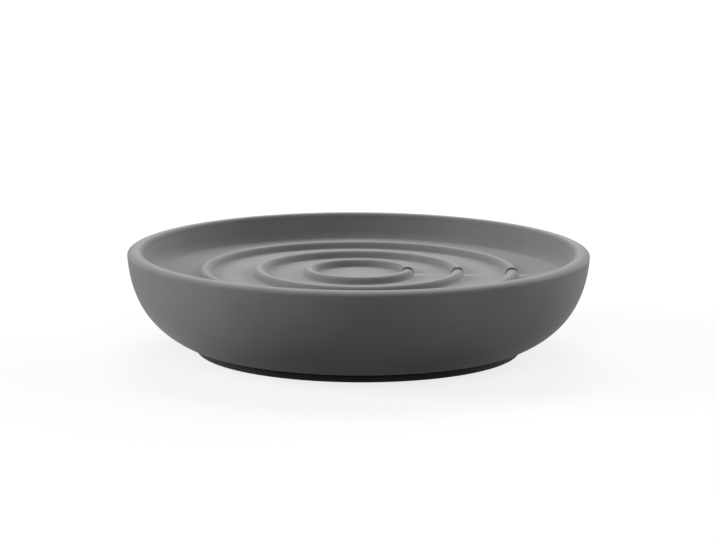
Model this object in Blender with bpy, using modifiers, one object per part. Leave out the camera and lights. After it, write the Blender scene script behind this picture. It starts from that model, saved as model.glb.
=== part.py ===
"""Round stoneware soap dish with a raised, ridged floor on a moulded base plate.

The dish is turned about +Z. Its origin is the middle of the plane that the four foot pads stand on,
and the drain gap through the ridges lies along +X. All sizes are in metres.
"""

import math

import bmesh
import bpy

# Dish body
DISH_RADIUS = 0.0600
RIM_HEIGHT = 0.02675
LIP_FALL_WIDTH = 0.0024
LIP_FALL_HEIGHT = 0.0011
LIP_FLAT = 0.0006
LIP_INNER_ROUND = 0.0009
RIM_LEAN = math.radians(4.5)
RIM_REACH = 0.0106
FLARE_WIDTH = 0.0162
FLARE_SLOPE = math.radians(22.2)
FLARE_REACH = 0.0118
WALL_THICKNESS = 0.0050
FLOOR_THICKNESS = 0.0050
WELL_DEPTH = 0.00655
WELL_LEAN = math.radians(10.2)
WELL_FILLET = 0.0024
HOLLOW_FILLET = 0.0025
LAND_WIDTH = 0.0068

# Ridges that hold the soap up, and the gap that drains the rings between them
RIDGE_RADII = (0.01285, 0.0258, 0.0399)
RIDGE_HEIGHT = 0.0017
RIDGE_FLAT = 0.0007
RIDGE_ROUND = 0.0012
RIDGE_SLOPE = math.radians(72.0)
RIDGE_FILLET = 0.0004
GAP_WIDTH = 0.0030
GAP_SHOULDER = 0.0004

# Base plate that closes the hollow and makes the foot
FOOT_INSET = 0.0016
FOOT_EDGE_ROUND = 0.0006
PLATE_THICKNESS = 0.0018
COLLAR_WEB = 0.0016
COLLAR_LIP = 0.0006
COLLAR_PLAY = 0.0008
MOUTH_MARGIN = 0.0007
RIB_RADIUS = 0.0180
RIB_HEIGHT = 0.0012
RIB_WIDTH = 0.0016

# Silicone seal that grips the mouth, in a groove round the collar
SEAL_THICKNESS = 0.0016
SEAL_HEIGHT = 0.0016
GROOVE_LIFT = 0.0010

# Pads that the dish stands on
PAD_COUNT = 4
PAD_RADIUS = 0.0042
PAD_INSET = 0.0072
PAD_STAND_OUT = 0.0004
PAD_SEAT_DEPTH = 0.0009
PAD_EDGE_ROUND = 0.0003
FIRST_PAD_ANGLE = math.radians(45.0)

# Clearances
JOINT_GAP = 0.0003
CUTTER_MARGIN = 0.0005

# Facets round the axis, and on the fall of the lip
BODY_STEPS = 64
PLATE_STEPS = 64
SEAL_STEPS = 48
PAD_STEPS = 24
LIP_SEGMENTS = 7

# Heights and radii worked out from the sizes above
PLATE_BOTTOM = PAD_STAND_OUT
PLATE_TOP = PLATE_BOTTOM + PLATE_THICKNESS
LAND_HEIGHT = PLATE_TOP + JOINT_GAP
FLOOR_HEIGHT = RIM_HEIGHT - WELL_DEPTH
CREST_HEIGHT = FLOOR_HEIGHT + RIDGE_HEIGHT
HOLLOW_TOP = FLOOR_HEIGHT - FLOOR_THICKNESS
LAND_RADIUS = DISH_RADIUS - FLARE_WIDTH
MOUTH_RADIUS = LAND_RADIUS - LAND_WIDTH
FOOT_RADIUS = LAND_RADIUS - FOOT_INSET
COLLAR_RADIUS = MOUTH_RADIUS - COLLAR_PLAY
SEAL_OUTSIDE = MOUTH_RADIUS - JOINT_GAP
SEAL_INSIDE = SEAL_OUTSIDE - SEAL_THICKNESS
GROOVE_RADIUS = SEAL_INSIDE - JOINT_GAP
COLLAR_INSIDE = GROOVE_RADIUS - COLLAR_WEB
GROOVE_BOTTOM = PLATE_TOP + GROOVE_LIFT
GROOVE_TOP = GROOVE_BOTTOM + SEAL_HEIGHT + 2 * JOINT_GAP
COLLAR_TOP = GROOVE_TOP + COLLAR_LIP
MOUTH_TOP = COLLAR_TOP + MOUTH_MARGIN
PAD_CIRCLE_RADIUS = FOOT_RADIUS - PAD_INSET
PAD_SEAT_RADIUS = PAD_RADIUS + JOINT_GAP
PAD_HEIGHT = PAD_STAND_OUT + PAD_SEAT_DEPTH - JOINT_GAP


def clear_scene():
    for obj in list(bpy.data.objects):
        bpy.data.objects.remove(obj, do_unlink=True)


def new_collection(name):
    collection = bpy.data.collections.new(name)
    bpy.context.scene.collection.children.link(collection)
    return collection


def new_material(name, colour, roughness, metallic=0.0):
    material = bpy.data.materials.new(name)
    material.use_nodes = True
    shader = material.node_tree.nodes["Principled BSDF"]
    shader.inputs["Base Color"].default_value = (*colour, 1.0)
    shader.inputs["Roughness"].default_value = roughness
    shader.inputs["Metallic"].default_value = metallic
    return material


def arc(centre, radius, start, end, segments):
    """Points of an arc in the (radius, height) plane, both ends included."""
    points = []
    for i in range(segments + 1):
        angle = start + (end - start) * i / segments
        points.append((centre[0] + radius * math.cos(angle), centre[1] + radius * math.sin(angle)))
    return points


def bezier(start, start_handle, end_handle, end, segments):
    """Points of a cubic curve with the normals on its left, both ends included."""
    points = []
    normals = []
    for i in range(segments + 1):
        t = i / segments
        s = 1 - t
        weights = (s**3, 3 * s * s * t, 3 * s * t * t, t**3)
        slopes = (-3 * s * s, 3 * s * s - 6 * s * t, 6 * s * t - 3 * t * t, 3 * t * t)
        corners = (start, start_handle, end_handle, end)
        x, y = (sum(w * c[k] for w, c in zip(weights, corners)) for k in (0, 1))
        dx, dy = (sum(w * c[k] for w, c in zip(slopes, corners)) for k in (0, 1))
        length = math.hypot(dx, dy)
        points.append((x, y))
        normals.append((-dy / length, dx / length))
    return points, normals


def turned(name, outline, steps, collection, closed=False):
    """Object turned about Z from (radius, height) points that run down the outer side."""
    mesh = bpy.data.meshes.new(name)
    edges = [(i, i + 1) for i in range(len(outline) - 1)]
    if closed:
        edges.append((len(outline) - 1, 0))
    mesh.from_pydata([(r, 0.0, z) for r, z in outline], edges, [])
    obj = bpy.data.objects.new(name, mesh)
    collection.objects.link(obj)
    screw = obj.modifiers.new("turn", "SCREW")
    screw.axis = "Z"
    screw.angle = math.tau
    screw.steps = steps
    screw.render_steps = steps
    screw.use_merge_vertices = True
    screw.merge_threshold = 0.00001
    screw.use_smooth_shade = True
    return obj


def as_cutter(obj):
    obj.hide_render = True
    obj.display_type = "WIRE"
    return obj


def cut(obj, cutter):
    boolean = obj.modifiers.new(f"cut {cutter.name}", "BOOLEAN")
    boolean.operation = "DIFFERENCE"
    boolean.solver = "EXACT"
    boolean.object = cutter


def lip_outline():
    """Outer fall of the lip, a part of an ellipse from its flat top to where the wall leans inwards."""
    last = math.pi / 2 + math.atan(LIP_FALL_HEIGHT / LIP_FALL_WIDTH * math.tan(RIM_LEAN))
    points = []
    for i in range(LIP_SEGMENTS + 1):
        turn = last * i / LIP_SEGMENTS
        radius = DISH_RADIUS - LIP_FALL_WIDTH * (1 - math.sin(turn))
        points.append((radius, RIM_HEIGHT - LIP_FALL_HEIGHT * (1 - math.cos(turn))))
    return points


def outer_wall():
    """Outer wall from the land up to the lip, with its inward normals."""
    shoulder = lip_outline()[-1]
    start = (LAND_RADIUS, LAND_HEIGHT)
    start_handle = (
        start[0] + FLARE_REACH * math.cos(FLARE_SLOPE),
        start[1] + FLARE_REACH * math.sin(FLARE_SLOPE),
    )
    end_handle = (
        shoulder[0] - RIM_REACH * math.sin(RIM_LEAN),
        shoulder[1] - RIM_REACH * math.cos(RIM_LEAN),
    )
    return bezier(start, start_handle, end_handle, shoulder, 10)


def ridge_reach():
    """How far a ridge's foot lies from its middle: half its flat, a round, a side and a fillet."""
    rounds = RIDGE_ROUND + RIDGE_FILLET
    straight = RIDGE_HEIGHT - rounds * (1 - math.cos(RIDGE_SLOPE))
    return RIDGE_FLAT / 2 + rounds * math.sin(RIDGE_SLOPE) + straight / math.tan(RIDGE_SLOPE)


def ridge_outline(radius):
    """One ridge from its inner foot, over its flat crown, to its outer foot."""
    up = math.pi / 2
    foot = (ridge_reach(), FLOOR_HEIGHT + RIDGE_FILLET)
    shoulder = (RIDGE_FLAT / 2, CREST_HEIGHT - RIDGE_ROUND)
    outer = arc(shoulder, RIDGE_ROUND, up, up - RIDGE_SLOPE, 4)
    outer += arc(foot, RIDGE_FILLET, 3 * up - RIDGE_SLOPE, 3 * up, 2)
    inner = [(-across, height) for across, height in reversed(outer)]
    return [(radius + across, height) for across, height in inner + outer]


def well_side():
    """Fillet, inner wall and inner round of the lip, from the floor up to the rim."""
    lip_centre = (DISH_RADIUS - LIP_FALL_WIDTH - LIP_FLAT, RIM_HEIGHT - LIP_INNER_ROUND)
    lip_foot = (
        lip_centre[0] - LIP_INNER_ROUND * math.cos(WELL_LEAN),
        lip_centre[1] - LIP_INNER_ROUND * math.sin(WELL_LEAN),
    )
    fillet_height = FLOOR_HEIGHT + WELL_FILLET * (1 - math.sin(WELL_LEAN))
    fillet_end = lip_foot[0] - (lip_foot[1] - fillet_height) * math.tan(WELL_LEAN)
    fillet_centre = (fillet_end - WELL_FILLET * math.cos(WELL_LEAN), FLOOR_HEIGHT + WELL_FILLET)
    points = arc(fillet_centre, WELL_FILLET, -math.pi / 2, -WELL_LEAN, 4)
    return points + arc(lip_centre, LIP_INNER_ROUND, math.pi + WELL_LEAN, math.pi / 2, 4)


def fitting_ridges():
    """Radii of the ridges that the floor has room for."""
    room = well_side()[0][0] - ridge_reach() - 2 * CUTTER_MARGIN
    return [radius for radius in RIDGE_RADII if radius < room]


def well_outline():
    """Floor with its ridges, then the side of the well, from the axis out to the lip."""
    points = [(0.0, FLOOR_HEIGHT)]
    for radius in fitting_ridges():
        points += ridge_outline(radius)
    return points + well_side()


def hollow_outline(wall_points, wall_normals):
    """Hollow under the floor, one wall thickness inside the outer wall, from the mouth to the axis."""
    side_top = HOLLOW_TOP - HOLLOW_FILLET
    inside = [
        (r + nr * WALL_THICKNESS, z + nz * WALL_THICKNESS)
        for (r, z), (nr, nz) in zip(wall_points, wall_normals)
    ]
    side = [point for point in inside if point[1] < side_top]
    below, above = side[-1], inside[len(side)]
    share = (side_top - below[1]) / (above[1] - below[1])
    corner = (below[0] + share * (above[0] - below[0]) - HOLLOW_FILLET, side_top)
    mouth = [(MOUTH_RADIUS, LAND_HEIGHT), (MOUTH_RADIUS, MOUTH_TOP)]
    return mouth + side + arc(corner, HOLLOW_FILLET, 0.0, math.pi / 2, 4) + [(0.0, HOLLOW_TOP)]


def make_gap_cutter(collection):
    """Bar along +X through the ridges, flared at the crest so that their ends are rounded."""
    half = GAP_WIDTH / 2
    shoulder = (half + GAP_SHOULDER, CREST_HEIGHT - GAP_SHOULDER)
    side = [(half, FLOOR_HEIGHT)] + arc(shoulder, GAP_SHOULDER, math.pi, math.radians(110.0), 3)
    side.append((side[-1][0], CREST_HEIGHT + CUTTER_MARGIN))
    outline = side + [(-y, z) for y, z in reversed(side)]
    ridges = fitting_ridges()
    near = ridges[0] / 2
    far = ridges[-1] + ridge_reach() + CUTTER_MARGIN
    bar = bmesh.new()
    face = bar.faces.new([bar.verts.new((near, y, z)) for y, z in outline])
    extruded = bmesh.ops.extrude_face_region(bar, geom=[face])
    moved = [item for item in extruded["geom"] if isinstance(item, bmesh.types.BMVert)]
    bmesh.ops.translate(bar, verts=moved, vec=(far - near, 0.0, 0.0))
    bmesh.ops.recalc_face_normals(bar, faces=bar.faces)
    mesh = bpy.data.meshes.new("gap_cutter")
    bar.to_mesh(mesh)
    bar.free()
    obj = bpy.data.objects.new("gap_cutter", mesh)
    collection.objects.link(obj)
    return as_cutter(obj)


def make_dish_body(collection, cutters, material):
    wall_points, wall_normals = outer_wall()
    outline = well_outline() + lip_outline() + wall_points[::-1][1:]
    outline += hollow_outline(wall_points, wall_normals)
    body = turned("dish_body", outline, BODY_STEPS, collection)
    body.data.materials.append(material)
    cut(body, make_gap_cutter(cutters))
    return body


def make_base_plate(collection, cutters, material):
    """Disc whose edge is the foot, with a grooved collar that stands up into the mouth."""
    rib_inside = RIB_RADIUS - RIB_WIDTH / 2
    rib_outside = RIB_RADIUS + RIB_WIDTH / 2
    outline = [
        (0.0, PLATE_TOP),
        (rib_inside, PLATE_TOP),
        (rib_inside, PLATE_TOP + RIB_HEIGHT),
        (rib_outside, PLATE_TOP + RIB_HEIGHT),
        (rib_outside, PLATE_TOP),
        (COLLAR_INSIDE, PLATE_TOP),
        (COLLAR_INSIDE, COLLAR_TOP),
        (COLLAR_RADIUS, COLLAR_TOP),
        (COLLAR_RADIUS, GROOVE_TOP),
        (GROOVE_RADIUS, GROOVE_TOP),
        (GROOVE_RADIUS, GROOVE_BOTTOM),
        (COLLAR_RADIUS, GROOVE_BOTTOM),
        (COLLAR_RADIUS, PLATE_TOP),
        (FOOT_RADIUS, PLATE_TOP),
    ]
    edge = (FOOT_RADIUS - FOOT_EDGE_ROUND, PLATE_BOTTOM + FOOT_EDGE_ROUND)
    outline += arc(edge, FOOT_EDGE_ROUND, 0.0, -math.pi / 2, 3)
    outline.append((0.0, PLATE_BOTTOM))
    plate = turned("base_plate", outline, PLATE_STEPS, collection)
    plate.data.materials.append(material)
    for number, place in enumerate(pad_places(), start=1):
        low = PLATE_BOTTOM - CUTTER_MARGIN
        high = PLATE_BOTTOM + PAD_SEAT_DEPTH
        outline = [(0.0, high), (PAD_SEAT_RADIUS, high), (PAD_SEAT_RADIUS, low), (0.0, low)]
        seat = turned(f"pad_seat_cutter_{number}", outline, PAD_STEPS, cutters)
        seat.location = place
        cut(plate, as_cutter(seat))
    return plate


def make_seal_ring(collection, material):
    """Seal with a flat back in the groove and a rounded face against the mouth."""
    middle = GROOVE_BOTTOM + JOINT_GAP + SEAL_HEIGHT / 2
    bead = SEAL_HEIGHT / 2
    face = arc((SEAL_OUTSIDE - bead, middle), bead, math.pi / 2, -math.pi / 2, 6)
    back = [(SEAL_INSIDE, middle - bead), (SEAL_INSIDE, middle + bead)]
    ring = turned("seal_ring", face + back, SEAL_STEPS, collection, closed=True)
    ring.data.materials.append(material)
    return ring


def pad_places():
    for number in range(PAD_COUNT):
        angle = FIRST_PAD_ANGLE + math.tau * number / PAD_COUNT
        yield (PAD_CIRCLE_RADIUS * math.cos(angle), PAD_CIRCLE_RADIUS * math.sin(angle), 0.0)


def make_foot_pads(collection, material):
    """Round pads, flat where they stand, each in its own seat under the plate."""
    edge = (PAD_RADIUS - PAD_EDGE_ROUND, PAD_EDGE_ROUND)
    outline = [(0.0, PAD_HEIGHT), (PAD_RADIUS, PAD_HEIGHT)]
    outline += arc(edge, PAD_EDGE_ROUND, 0.0, -math.pi / 2, 2)
    outline.append((0.0, 0.0))
    for number, place in enumerate(pad_places(), start=1):
        pad = turned(f"foot_pad_{number}", outline, PAD_STEPS, collection)
        pad.location = place
        pad.data.materials.append(material)


def main():
    clear_scene()
    dish = new_collection("soap_dish")
    cutters = new_collection("cutters")
    stoneware = new_material("soft_touch_stoneware", (0.190, 0.190, 0.192), 0.62)
    plastic = new_material("base_plastic", (0.045, 0.045, 0.046), 0.55)
    silicone = new_material("black_silicone", (0.016, 0.016, 0.017), 0.70)
    make_dish_body(dish, cutters, stoneware)
    make_base_plate(dish, cutters, plastic)
    make_seal_ring(dish, silicone)
    make_foot_pads(dish, silicone)


main()
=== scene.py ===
import math

import bmesh
import bpy
from mathutils import Matrix, Vector


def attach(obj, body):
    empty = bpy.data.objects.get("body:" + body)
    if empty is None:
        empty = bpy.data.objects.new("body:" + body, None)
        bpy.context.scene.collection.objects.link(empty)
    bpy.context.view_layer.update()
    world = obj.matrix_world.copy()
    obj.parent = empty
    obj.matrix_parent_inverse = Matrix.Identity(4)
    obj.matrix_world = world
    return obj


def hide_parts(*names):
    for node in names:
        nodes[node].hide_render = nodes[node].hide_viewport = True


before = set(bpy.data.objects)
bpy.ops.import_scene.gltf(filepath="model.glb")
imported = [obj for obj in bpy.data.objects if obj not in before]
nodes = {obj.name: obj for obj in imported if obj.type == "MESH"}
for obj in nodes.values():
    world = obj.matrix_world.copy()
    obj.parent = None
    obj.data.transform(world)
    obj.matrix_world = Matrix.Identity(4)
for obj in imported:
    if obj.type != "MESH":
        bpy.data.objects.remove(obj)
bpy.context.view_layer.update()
mm = 0.001

print("packed dish loaded:", ", ".join(sorted(nodes)))


# small helpers

def arcPoints(centre, radius, start, end, steps):
    points = []
    for i in range(steps + 1):
        angle = start + (end - start) * i / steps
        points.append((centre[0] + radius * math.cos(angle), centre[1] + radius * math.sin(angle)))
    return points


def curvePoints(a, b, c, d, steps):
    # cubic curve with its normals to the left
    points, normals = [], []
    for i in range(steps + 1):
        t = i / steps
        s = 1 - t
        weights = (s**3, 3 * s * s * t, 3 * s * t * t, t**3)
        slopes = (-3 * s * s, 3 * s * s - 6 * s * t, 6 * s * t - 3 * t * t, 3 * t * t)
        x, y = (sum(w * p[k] for w, p in zip(weights, (a, b, c, d))) for k in (0, 1))
        dx, dy = (sum(w * p[k] for w, p in zip(slopes, (a, b, c, d))) for k in (0, 1))
        length = math.hypot(dx, dy)
        points.append((x, y))
        normals.append((-dy / length, dx / length))
    return points, normals


def linePoints(a, b, steps):
    # inner points of a straight run, ends left out
    return [(a[0] + (b[0] - a[0]) * i / steps, a[1] + (b[1] - a[1]) * i / steps) for i in range(1, steps)]


def plainObject(name, sheet):
    mesh = bpy.data.meshes.new(name)
    sheet.to_mesh(mesh)
    sheet.free()
    made = bpy.data.objects.new(name, mesh)
    bpy.context.scene.collection.objects.link(made)
    return made


def dishPiece(name, sheet, material):
    piece = plainObject(name, sheet)
    piece.data.shade_smooth()
    piece.data.materials.append(material)
    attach(piece, "root")
    return piece


def bridgeRings(sheet, rings):
    for upper, lower in zip(rings, rings[1:]):
        count = len(upper)
        for i in range(count):
            j = (i + 1) % count
            sheet.faces.new((upper[i], lower[i], lower[j], upper[j]))


def closeWithFan(sheet, centre, ring, facesUp):
    tip = sheet.verts.new(centre)
    for i in range(len(ring)):
        j = (i + 1) % len(ring)
        sheet.faces.new((tip, ring[i], ring[j]) if facesUp else (tip, ring[j], ring[i]))


def pointAt(radius, angle, height):
    # place in metres of a radius and a height in mm
    return radius * mm * math.cos(angle), radius * mm * math.sin(angle), height * mm


def turnedSheet(outline, columns):
    # turned form, still open at both ends: the outline runs down its outer side
    sheet = bmesh.new()
    angles = [math.tau * i / columns for i in range(columns)]
    rings = []
    for radius, height in outline:
        rings.append([sheet.verts.new(pointAt(radius, angle, height)) for angle in angles])
    bridgeRings(sheet, rings)
    return sheet, rings


# materials

def newMaterial(name, look):
    material = bpy.data.materials.new(name)
    material.use_nodes = True
    tree = material.node_tree
    shader = tree.nodes["Principled BSDF"]
    shader.inputs["Base Color"].default_value = (*look["colour"], 1)
    shader.inputs["Roughness"].default_value = look["roughness"]
    shader.inputs["Specular IOR Level"].default_value = look["specular"]
    return material, tree, shader


def placeOnObject(tree):
    return tree.nodes.new("ShaderNodeTexCoord").outputs["Object"]


def addNoise(tree, where, size, detail, roughness):
    # clouds about this size in metres
    noise = tree.nodes.new("ShaderNodeTexNoise")
    noise.inputs["Scale"].default_value = 1 / size
    noise.inputs["Detail"].default_value = detail
    noise.inputs["Roughness"].default_value = roughness
    tree.links.new(where, noise.inputs["Vector"])
    return noise.outputs["Fac"]


def addRange(tree, value, fromLow, fromHigh, toLow, toHigh):
    node = tree.nodes.new("ShaderNodeMapRange")
    sockets = ("From Min", "From Max", "To Min", "To Max")
    for socket, number in zip(sockets, (fromLow, fromHigh, toLow, toHigh)):
        node.inputs[socket].default_value = number
    tree.links.new(value, node.inputs["Value"])
    return node.outputs["Result"]


def addBump(tree, height, distance, strength, before=None):
    bump = tree.nodes.new("ShaderNodeBump")
    bump.inputs["Distance"].default_value = distance
    bump.inputs["Strength"].default_value = strength
    tree.links.new(height, bump.inputs["Height"])
    if before:
        tree.links.new(before, bump.inputs["Normal"])
    return bump.outputs["Normal"]


def blendColours(tree, share, low, high):
    mix = tree.nodes.new("ShaderNodeMix")
    mix.data_type = "RGBA"
    tree.links.new(share, mix.inputs[0])
    for socket, colour in ((6, low), (7, high)):
        if isinstance(colour, tuple):
            mix.inputs[socket].default_value = (*colour, 1)
        else:
            tree.links.new(colour, mix.inputs[socket])
    return mix.outputs[2]


def softTouchStoneware():
    coat = dict(
        colour=(0.190, 0.190, 0.192), paler=(0.204, 0.204, 0.206), darker=(0.178, 0.178, 0.180),
        fleck=(0.235, 0.235, 0.237), roughness=0.66, roughnessSwing=0.035, specular=0.05,
        sheen=0.30, sheenRoughness=0.60, cloudSize=0.014,
        grainSize=0.00022, grainDepth=0.000010, peelSize=0.0012, peelDepth=0.000020,
        waveSize=0.018, waveDepth=0.00018,
    )
    material, tree, shader = newMaterial("softTouchStoneware", coat)
    shader.inputs["Sheen Weight"].default_value = coat["sheen"]
    shader.inputs["Sheen Roughness"].default_value = coat["sheenRoughness"]
    place = placeOnObject(tree)
    grain = addNoise(tree, place, coat["grainSize"], 3, 0.6)        # fine tooth of the sprayed coat
    peel = addNoise(tree, place, coat["peelSize"], 2, 0.45)         # faint orange peel
    cloud = addNoise(tree, place, coat["cloudSize"], 3, 0.55)       # clouding of the clay under it
    wave = addNoise(tree, place, coat["waveSize"], 1, 0.4)          # slack of a cast wall
    tone = addRange(tree, cloud, 0.30, 0.70, 0, 1)
    colour = blendColours(tree, tone, coat["darker"], coat["paler"])
    colour = blendColours(tree, addRange(tree, grain, 0.60, 0.78, 0, 0.35), colour, coat["fleck"])
    tree.links.new(colour, shader.inputs["Base Color"])
    smooth, rough = coat["roughness"] - coat["roughnessSwing"], coat["roughness"] + coat["roughnessSwing"]
    tree.links.new(addRange(tree, peel, 0.25, 0.75, smooth, rough), shader.inputs["Roughness"])
    normal = addBump(tree, wave, coat["waveDepth"], 0.25)
    normal = addBump(tree, peel, coat["peelDepth"], 0.35, normal)
    normal = addBump(tree, grain, coat["grainDepth"], 0.40, normal)
    tree.links.new(normal, shader.inputs["Normal"])
    return material


def plasticWithPaintedShade():
    # near-black colour: partly the plate's own dark plastic, partly painted shade that makes the foot under
    # the wall's overhang darker than the plate's own colour
    moulding = dict(
        colour=(0.026, 0.026, 0.027), paler=(0.034, 0.034, 0.035), specular=0.12,
        roughness=0.55, smoothest=0.50, roughest=0.62, grainSize=0.00030, grainDepth=0.000025, flowSize=0.010,
    )
    material, tree, shader = newMaterial("plasticWithPaintedShade", moulding)
    place = placeOnObject(tree)
    grain = addNoise(tree, place, moulding["grainSize"], 2, 0.55)       # spark-eroded mould texture
    flow = addNoise(tree, place, moulding["flowSize"], 2, 0.5)          # drift of the colour in the melt
    tone = addRange(tree, flow, 0.3, 0.7, 0, 1)
    colour = blendColours(tree, tone, moulding["colour"], moulding["paler"])
    tree.links.new(colour, shader.inputs["Base Color"])
    roughness = addRange(tree, grain, 0.25, 0.75, moulding["smoothest"], moulding["roughest"])
    tree.links.new(roughness, shader.inputs["Roughness"])
    tree.links.new(addBump(tree, grain, moulding["grainDepth"], 0.45), shader.inputs["Normal"])
    return material


def dullSilicone():
    rubber = dict(
        colour=(0.016, 0.016, 0.017), paler=(0.024, 0.024, 0.025), specular=0.30,
        roughness=0.70, smoothest=0.64, roughest=0.76,
        bloomSize=0.0016, stippleSize=0.00035, stippleDepth=0.000030,
    )
    material, tree, shader = newMaterial("dullSilicone", rubber)
    place = placeOnObject(tree)
    bloom = addNoise(tree, place, rubber["bloomSize"], 3, 0.6)          # powdery bloom on the rubber
    stipple = tree.nodes.new("ShaderNodeTexVoronoi")
    stipple.inputs["Scale"].default_value = 1 / rubber["stippleSize"]
    tree.links.new(place, stipple.inputs["Vector"])
    tone = addRange(tree, bloom, 0.35, 0.7, 0, 1)
    tree.links.new(blendColours(tree, tone, rubber["colour"], rubber["paler"]), shader.inputs["Base Color"])
    roughness = addRange(tree, bloom, 0.3, 0.7, rubber["smoothest"], rubber["roughest"])
    tree.links.new(roughness, shader.inputs["Roughness"])
    normal = addBump(tree, stipple.outputs["Distance"], rubber["stippleDepth"], 0.40)
    tree.links.new(normal, shader.inputs["Normal"])
    return material


stoneware = softTouchStoneware()
plastic = plasticWithPaintedShade()
silicone = dullSilicone()
print("materials made")


# dish body, all sizes in mm

bodySizes = dict(
    radius=59.99, rimHeight=26.75, lipFallWidth=2.4, lipFallHeight=1.1, lipFlat=0.6, lipInnerRound=0.9,
    rimLean=4.5, rimReach=10.6, flareWidth=16.2, flareSlope=22.2, flareReach=11.8,
    landHeight=2.5, landEdgeRound=0.35, mouthRadius=37.0, mouthTop=6.7, mouthLap=0.6,
    wellDepth=6.55, wellLean=10.2, wellFillet=2.4, wallThickness=5.0, floorThickness=5.0, hollowFillet=2.5,
    columns=300, lipSteps=20, wallSteps=44,
)

# toeHeight is a share of the ridge's height, gapSpread the widest half angle of the gap near the centre
ridgeSizes = dict(
    radii=(12.85, 25.8, 39.9), height=1.7, flat=0.7, round=1.2, slope=72.0, fillet=0.4,
    gapWidth=3.0, endRound=0.40, endToe=0.15, toeHeight=0.10, gapSpread=26,
)

# radii of the plain rings in the middle, distances of the others from a ridge's foot, room at the floor's edge
floorRings = dict(middle=(0.8, 2.2, 4.0, 6.0, 8.0), nearFoot=0.2, beyond=(1.5, 3.5, 5.5, 7.5), edgeRoom=0.4)


def ridgeSection():
    # one ridge as (distance outwards from its middle line, height) from its inner foot to its outer foot
    ridge = ridgeSizes
    slope, up = math.radians(ridge["slope"]), math.pi / 2
    rounds = ridge["round"] + ridge["fillet"]
    straight = ridge["height"] - rounds * (1 - math.cos(slope))
    reach = ridge["flat"] / 2 + rounds * math.sin(slope) + straight / math.tan(slope)
    foot = arcPoints((reach, ridge["fillet"]), ridge["fillet"], 3 * up, 3 * up - slope, 5)
    shoulder = (ridge["flat"] / 2, ridge["height"] - ridge["round"])
    crown = arcPoints(shoulder, ridge["round"], up - slope, up, 9)
    outer = foot + linePoints(foot[-1], crown[0], 3) + crown + [(ridge["flat"] / 4, ridge["height"])]
    inner = [(-away, height) for away, height in outer]
    return inner + [(0.0, ridge["height"])] + outer[::-1]


def gapColumns():
    # side distances from the middle of the gap, with the share of the ridge's height that stands there
    half, end, toe = ridgeSizes["gapWidth"] / 2, ridgeSizes["endRound"], ridgeSizes["endToe"]
    low, steps = ridgeSizes["toeHeight"], 9
    columns = [(half * share, 0.0) for share in (0.2, 0.4, 0.6, 0.8)]
    columns += [(half - toe * (1 - t), low * t * t) for t in (0.0, 0.5, 0.8, 1.0)]
    for step in range(1, steps + 1):
        turn = math.pi / 2 * step / steps
        columns.append((half + end * (1 - math.cos(turn)), low + (1 - low) * math.sin(turn)))
    return columns + [(half + end + more, 1.0) for more in (0.25, 0.6, 1.1, 1.7, 2.4)]


def columnPlaces(radius, columns, plainColumns):
    # angle and height share of every column on a ring: straight beside the gap, evenly spread elsewhere
    widest = columns[-1][0]
    shrink = min(1.0, radius * math.sin(math.radians(ridgeSizes["gapSpread"])) / widest)
    side = [(math.asin(away * shrink / radius), share) for away, share in columns]
    last = side[-1][0]
    rest = [(last + (math.tau - 2 * last) * i / plainColumns, 1.0) for i in range(1, plainColumns)]
    return [(0.0, 0.0)] + side + rest + [(math.tau - angle, share) for angle, share in reversed(side)]


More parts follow.
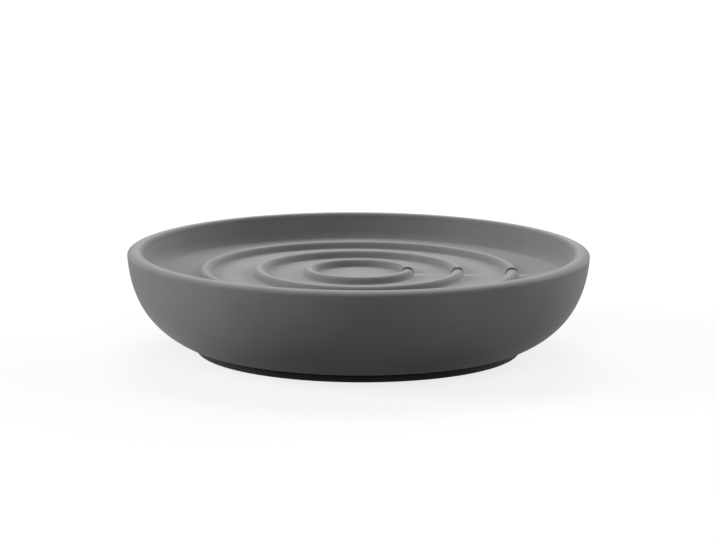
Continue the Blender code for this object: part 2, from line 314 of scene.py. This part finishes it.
def bodyOutline(body):
    # from the floor's edge out over the lip, down the wall, in under it and up the hollow to its top
    wellLean, rimLean, slope = (math.radians(body[key]) for key in ("wellLean", "rimLean", "flareSlope"))
    floor = body["rimHeight"] - body["wellDepth"]
    inner, fillet = body["lipInnerRound"], body["wellFillet"]
    fallWidth, fallHeight = body["lipFallWidth"], body["lipFallHeight"]
    innerCentre = (body["radius"] - fallWidth - body["lipFlat"], body["rimHeight"] - inner)
    lipFoot = (innerCentre[0] - inner * math.cos(wellLean), innerCentre[1] - inner * math.sin(wellLean))
    filletTop = floor + fillet * (1 - math.sin(wellLean))
    filletEnd = lipFoot[0] - (lipFoot[1] - filletTop) * math.tan(wellLean)
    filletCentre = (filletEnd - fillet * math.cos(wellLean), floor + fillet)
    outline = arcPoints(filletCentre, fillet, -math.pi / 2, -wellLean, 12)
    outline += linePoints(outline[-1], lipFoot, 5)
    outline += arcPoints(innerCentre, inner, math.pi + wellLean, math.pi / 2, 10)
    outline += linePoints(outline[-1], (body["radius"] - fallWidth, body["rimHeight"]), 2)
    # outer fall of the lip, part of an ellipse
    last = math.pi / 2 + math.atan(fallHeight / fallWidth * math.tan(rimLean))
    for step in range(body["lipSteps"] + 1):
        turn = last * step / body["lipSteps"]
        outline.append((body["radius"] - fallWidth * (1 - math.sin(turn)),
                        body["rimHeight"] - fallHeight * (1 - math.cos(turn))))
    lip = outline[-1]
    start = (body["radius"] - body["flareWidth"], body["landHeight"])
    flare, rim = body["flareReach"], body["rimReach"]
    startHandle = (start[0] + flare * math.cos(slope), start[1] + flare * math.sin(slope))
    lipHandle = (lip[0] - rim * math.sin(rimLean), lip[1] - rim * math.cos(rimLean))
    wall, normals = curvePoints(start, startHandle, lipHandle, lip, body["wallSteps"])
    outline += [point for point in reversed(wall[1:-1]) if point[1] > start[1] + body["landEdgeRound"]]
    # eased edge between the wall and the land it stands on
    corners = (outline[-1], start, (start[0] - 2 * body["landEdgeRound"], start[1]))
    for step in range(1, 6):
        t = step / 5
        weights = ((1 - t) ** 2, 2 * t * (1 - t), t * t)
        outline.append(tuple(sum(w * p[k] for w, p in zip(weights, corners)) for k in (0, 1)))
    outline += linePoints(outline[-1], (body["mouthRadius"], start[1]), 3)
    outline += [(body["mouthRadius"], start[1]), (body["mouthRadius"], (start[1] + body["mouthTop"]) / 2),
                (body["mouthRadius"], body["mouthTop"])]
    sideTop = floor - body["floorThickness"] - body["hollowFillet"]
    thick = body["wallThickness"]
    inside = [(r + nr * thick, z + nz * thick) for (r, z), (nr, nz) in zip(wall, normals)]
    side = [point for point in inside if body["mouthTop"] - body["mouthLap"] < point[1] < sideTop]
    outline += side[::3]
    hollowFillet = body["hollowFillet"]
    outline += arcPoints((outline[-1][0] - hollowFillet, sideTop), hollowFillet, 0, math.pi / 2, 6)[1:]
    return floor, outline


def makeDishBody():
    floor, outline = bodyOutline(bodySizes)
    section = ridgeSection()
    places = [(radius, 0.0) for radius in floorRings["middle"]]
    nearFoot = floorRings["nearFoot"]       # keeps the flat floor beside each foot evenly shaded
    for middle in ridgeSizes["radii"]:
        places.append((middle + section[0][0] - nearFoot, 0.0))
        places += [(middle + away, tall) for away, tall in section]
        places += [(middle + section[-1][0] + more, 0.0) for more in (nearFoot, *floorRings["beyond"])]
    places = [(radius, tall) for radius, tall in places if radius < outline[0][0] - floorRings["edgeRoom"]]
    columns = gapColumns()
    sheet = bmesh.new()
    rows = [(radius, floor, tall) for radius, tall in places]
    rows += [(radius, height, 0.0) for radius, height in outline]
    rings = []
    for radius, height, tall in rows:
        rings.append([sheet.verts.new(pointAt(radius, angle, height + tall * share))
                      for angle, share in columnPlaces(radius, columns, bodySizes["columns"])])
    closeWithFan(sheet, (0, 0, floor * mm), rings[0], True)
    bridgeRings(sheet, rings)
    closeWithFan(sheet, (0, 0, outline[-1][1] * mm), rings[-1], False)
    body = dishPiece("dishBody", sheet, stoneware)
    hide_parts("dish_body")
    return body


dishBody = makeDishBody()
print("dish body made:", len(dishBody.data.polygons), "faces")


# base plate, with the foot's edge, the collar in the mouth and the seats of the pads

plateSizes = dict(
    footRadius=42.2, bottom=0.4, top=2.2, footEdgeRound=0.6, topEdgeRound=0.25,
    collarRadius=36.2, collarInside=33.2, collarTop=6.0, grooveRadius=34.8, grooveBottom=3.2, grooveTop=5.4,
    collarEase=0.2, ribRadius=18.0, ribHeight=1.2, ribWidth=1.6, ribEase=0.15,
    middleRing=1.0, columns=256, sharpFrom=35,
)

padSizes = dict(
    count=4, firstAngle=45, circleRadius=35.0, radius=4.2, height=1.0, edgeRound=0.3,
    seatRadius=4.5, seatTop=1.3, middleRing=0.6, soleRing=2.4, columns=72, sharpFrom=40,
)


def padPlaces():
    for number in range(padSizes["count"]):
        angle = math.radians(padSizes["firstAngle"] + 360 * number / padSizes["count"])
        yield pointAt(padSizes["circleRadius"], angle, 0.0)[:2]


def makeBasePlate():
    plate, pads = plateSizes, padSizes
    top = plate["top"]
    ribIn, ribOut = plate["ribRadius"] - plate["ribWidth"] / 2, plate["ribRadius"] + plate["ribWidth"] / 2
    ribTop, ribEase, ease = top + plate["ribHeight"], plate["ribEase"], plate["collarEase"]
    collarIn, collarOut, collarTop = plate["collarInside"], plate["collarRadius"], plate["collarTop"]
    groove, grooveTop, grooveBottom = plate["grooveRadius"], plate["grooveTop"], plate["grooveBottom"]
    outline = [(plate["middleRing"], top), (ribIn, top), (ribIn + ribEase, ribTop),
               (ribOut - ribEase, ribTop), (ribOut, top),
               (collarIn, top), (collarIn, collarTop - ease), (collarIn + ease, collarTop),
               (collarOut - ease, collarTop), (collarOut, collarTop - ease), (collarOut, grooveTop),
               (groove, grooveTop), (groove, grooveBottom), (collarOut, grooveBottom), (collarOut, top)]
    foot, bottom = plate["footRadius"], plate["bottom"]
    easeTop, easeFoot = plate["topEdgeRound"], plate["footEdgeRound"]
    outline += arcPoints((foot - easeTop, top - easeTop), easeTop, math.pi / 2, 0, 4)
    outline += arcPoints((foot - easeFoot, bottom + easeFoot), easeFoot, 0, -math.pi / 2, 8)
    outline.append((plate["middleRing"], bottom))
    sheet, rings = turnedSheet(outline, plate["columns"])
    closeWithFan(sheet, (0, 0, top * mm), rings[0], True)
    closeWithFan(sheet, (0, 0, bottom * mm), rings[-1], False)
    blank = plainObject("plateBlank", sheet)
    seats = []
    seatTop, drillEnd = pads["seatTop"], bottom - 1
    for x, y in padPlaces():
        drillOutline = [(pads["seatRadius"], seatTop), (pads["seatRadius"], drillEnd)]
        drill, drillRings = turnedSheet(drillOutline, pads["columns"])
        closeWithFan(drill, (0, 0, seatTop * mm), drillRings[0], True)
        closeWithFan(drill, (0, 0, drillEnd * mm), drillRings[-1], False)
        bmesh.ops.translate(drill, verts=drill.verts, vec=(x, y, 0))
        seat = plainObject("seatDrill", drill)
        seats.append(seat)
        carve = blank.modifiers.new("seat", "BOOLEAN")
        carve.operation = "DIFFERENCE"
        carve.solver = "EXACT"
        carve.object = seat
    bpy.context.view_layer.update()
    carved = bmesh.new()
    carved.from_object(blank, bpy.context.evaluated_depsgraph_get())
    for helper in seats + [blank]:
        bpy.data.objects.remove(helper, do_unlink=True)
    piece = dishPiece("basePlate", carved, plastic)
    piece.data.set_sharp_from_angle(angle=math.radians(plate["sharpFrom"]))
    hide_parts("base_plate")
    return piece


basePlate = makeBasePlate()
print("base plate made:", len(basePlate.data.polygons), "faces")


def makeFootPads():
    radius, top, ease = padSizes["radius"], padSizes["height"], padSizes["edgeRound"]
    outline = [(padSizes["middleRing"], top), (radius - ease / 2, top), (radius, top - ease / 2)]
    outline += arcPoints((radius - ease, ease), ease, 0, -math.pi / 2, 6)
    outline += [(padSizes["soleRing"], 0.0), (padSizes["middleRing"], 0.0)]
    for number, (x, y) in enumerate(padPlaces(), start=1):
        sheet, rings = turnedSheet(outline, padSizes["columns"])
        closeWithFan(sheet, (0, 0, top * mm), rings[0], True)
        closeWithFan(sheet, (0, 0, 0), rings[-1], False)
        bmesh.ops.translate(sheet, verts=sheet.verts, vec=(x, y, 0))
        pad = dishPiece(f"footPad{number}", sheet, silicone)
        pad.data.set_sharp_from_angle(angle=math.radians(padSizes["sharpFrom"]))
        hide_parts(f"foot_pad_{number}")


makeFootPads()
nodes["seal_ring"].data.materials.clear()
nodes["seal_ring"].data.materials.append(silicone)
print("foot pads and seal made")


# floor, lights and camera

studio = dict(
    floorSize=8.0, floorGrey=0.25, seenWhite=0.80, seenShade=0.22, fadeStart=0.15, fadeEnd=0.60,
    skyFill=0.0, lampDistance=1.4, lampPower=20.0, aimHeight=0.02,
)

# azimuth from straight behind the dish towards its right, elevation, share of the power, width, height
lamps = dict(
    highBackLamp=(0, 50, 0.43, 0.8, 0.8),
    lowBackLamp=(0, 22, 0.05, 0.8, 0.6),
    lowBackRightLamp=(45, 22, 0.38, 0.8, 0.6),
    rightLamp=(90, 22, 0.27, 0.8, 0.6),
    leftLamp=(270, 22, 0.75, 0.8, 0.6),
    frontLamp=(180, 40, 0.245, 0.8, 0.8),
)


def placeLamps():
    for name, (azimuth, elevation, share, width, height) in lamps.items():
        turn, lift = math.radians(azimuth), math.radians(elevation)
        lamp = bpy.data.lights.new(name, "AREA")
        lamp.shape = "RECTANGLE"
        lamp.size, lamp.size_y = width, height
        lamp.energy = studio["lampPower"] * share
        holder = bpy.data.objects.new(name, lamp)
        place = Vector((math.sin(turn) * math.cos(lift), math.cos(turn) * math.cos(lift), math.sin(lift)))
        place *= studio["lampDistance"]
        aim = (Vector((0, 0, studio["aimHeight"])) - place).to_track_quat("-Z", "Y")
        holder.matrix_world = Matrix.Translation(place) @ aim.to_matrix().to_4x4()
        bpy.context.scene.collection.objects.link(holder)


def seenByEye(tree):
    # 1 for what the camera, a reflection or clear stuff sees, 0 for light that only bounces
    path = tree.nodes.new("ShaderNodeLightPath")
    total = path.outputs["Is Camera Ray"]
    for name in ("Is Glossy Ray", "Is Transmission Ray"):
        most = tree.nodes.new("ShaderNodeMath")
        most.operation = "MAXIMUM"
        tree.links.new(total, most.inputs[0])
        tree.links.new(path.outputs[name], most.inputs[1])
        total = most.outputs[0]
    return total


def makeFloor():
    sheet = bmesh.new()
    half = studio["floorSize"] / 2
    corners = ((-half, -half), (half, -half), (half, half), (-half, half))
    sheet.faces.new([sheet.verts.new((x, y, 0)) for x, y in corners])
    floor = plainObject("studioFloor", sheet)
    material = bpy.data.materials.new("paleFloor")
    material.use_nodes = True
    tree = material.node_tree
    tree.nodes.clear()
    out = tree.nodes.new("ShaderNodeOutputMaterial")
    choose = tree.nodes.new("ShaderNodeMixShader")
    seen = tree.nodes.new("ShaderNodeAddShader")
    bounce, shade = tree.nodes.new("ShaderNodeBsdfDiffuse"), tree.nodes.new("ShaderNodeBsdfDiffuse")
    bounce.inputs["Color"].default_value = (studio["floorGrey"],) * 3 + (1,)
    shade.inputs["Color"].default_value = (studio["seenShade"],) * 3 + (1,)
    # the floor brightens to white away from the dish, so that it has no visible far edge
    away = tree.nodes.new("ShaderNodeVectorMath")
    away.operation = "LENGTH"
    tree.links.new(placeOnObject(tree), away.inputs[0])
    glow = tree.nodes.new("ShaderNodeEmission")
    tree.links.new(addRange(tree, away.outputs["Value"], studio["fadeStart"], studio["fadeEnd"],
                            studio["seenWhite"], 1), glow.inputs["Strength"])
    tree.links.new(seenByEye(tree), choose.inputs[0])
    tree.links.new(bounce.outputs[0], choose.inputs[1])
    tree.links.new(glow.outputs[0], seen.inputs[0])
    tree.links.new(shade.outputs[0], seen.inputs[1])
    tree.links.new(seen.outputs[0], choose.inputs[2])
    tree.links.new(choose.outputs[0], out.inputs["Surface"])
    floor.data.materials.append(material)


def makeWorld():
    world = bpy.data.worlds.new("paleRoom")
    world.use_nodes = True
    tree = world.node_tree
    back = tree.nodes["Background"]
    back.inputs["Color"].default_value = (1, 1, 1, 1)
    tree.links.new(addRange(tree, seenByEye(tree), 0, 1, studio["skyFill"], 1), back.inputs["Strength"])
    bpy.context.scene.world = world


# the middle of the dish's base falls on (baseAcross, baseDown) in a picture of this width and height
view = dict(
    width=716, height=540, distance=1.0, elevation=11.66, roll=0.304, focalPixels=3832.8,
    baseAcross=358.5, baseDown=350.4, sensorWidth=36,
)


def placeCamera():
    lift = math.radians(view["elevation"])
    drop = lift - math.atan((view["baseDown"] - view["height"] / 2) / view["focalPixels"])
    aside = math.atan((view["width"] / 2 - view["baseAcross"]) / view["focalPixels"])
    place = Vector((0, -math.cos(lift), math.sin(lift))) * view["distance"]
    ahead = Vector((0, math.cos(drop), -math.sin(drop)))
    across = Vector((1, 0, 0))
    turn = Matrix((across, across.cross(ahead), -ahead)).transposed()
    turn = turn @ Matrix.Rotation(math.radians(view["roll"]), 3, "Z") @ Matrix.Rotation(-aside, 3, "Y")
    camera = bpy.data.cameras.new("photoCamera")
    camera.sensor_width = view["sensorWidth"]
    camera.lens = view["sensorWidth"] * view["focalPixels"] / view["width"]
    holder = bpy.data.objects.new("photoCamera", camera)
    holder.matrix_world = Matrix.Translation(place) @ turn.to_4x4()
    bpy.context.scene.collection.objects.link(holder)
    bpy.context.scene.camera = holder


placeLamps()
makeFloor()
makeWorld()
placeCamera()
bpy.context.scene.view_settings.view_transform = "Standard"
print("floor, lights and camera placed")

print("soap dish finished: body, base plate, seal and", padSizes["count"], "foot pads")
